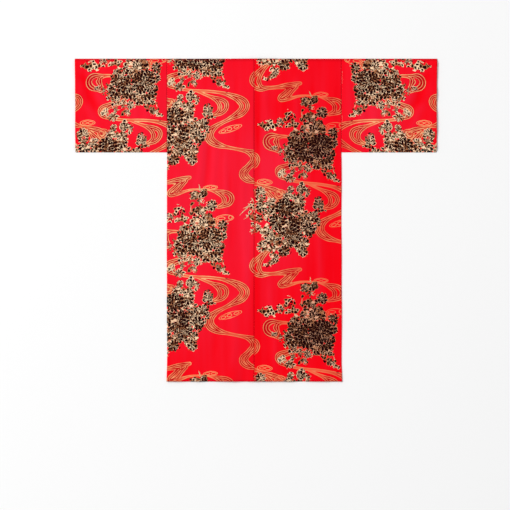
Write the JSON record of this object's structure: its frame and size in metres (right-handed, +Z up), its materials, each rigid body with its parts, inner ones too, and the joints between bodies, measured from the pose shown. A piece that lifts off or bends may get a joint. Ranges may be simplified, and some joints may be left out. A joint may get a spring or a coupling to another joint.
{
  "type": "yukata",
  "caption": "Short unlined cotton robe with straight sleeves, laid flat face down so that its printed back is uppermost.",
  "frame": {"origin": "on the surface that the garment lies on, below the middle of its outline", "axes": "+X from the wearer's left cuff to the right cuff, +Y from the hem to the shoulder fold, +Z up, away from the surface"},
  "size_m": [1.28, 1.14, 0.0056],
  "materials": {
    "printed_cotton": "matt plain-weave cotton, red, printed with gold flowing water and bunches of dark flowers"
  },
  "bodies": {
    "root": {"body_left": "printed_cotton", "body_right": "printed_cotton", "overlap_panel_left": "printed_cotton", "overlap_panel_right": "printed_cotton", "collar": "printed_cotton", "sleeve_left": "printed_cotton", "sleeve_right": "printed_cotton"}
  },
  "joints": []
}
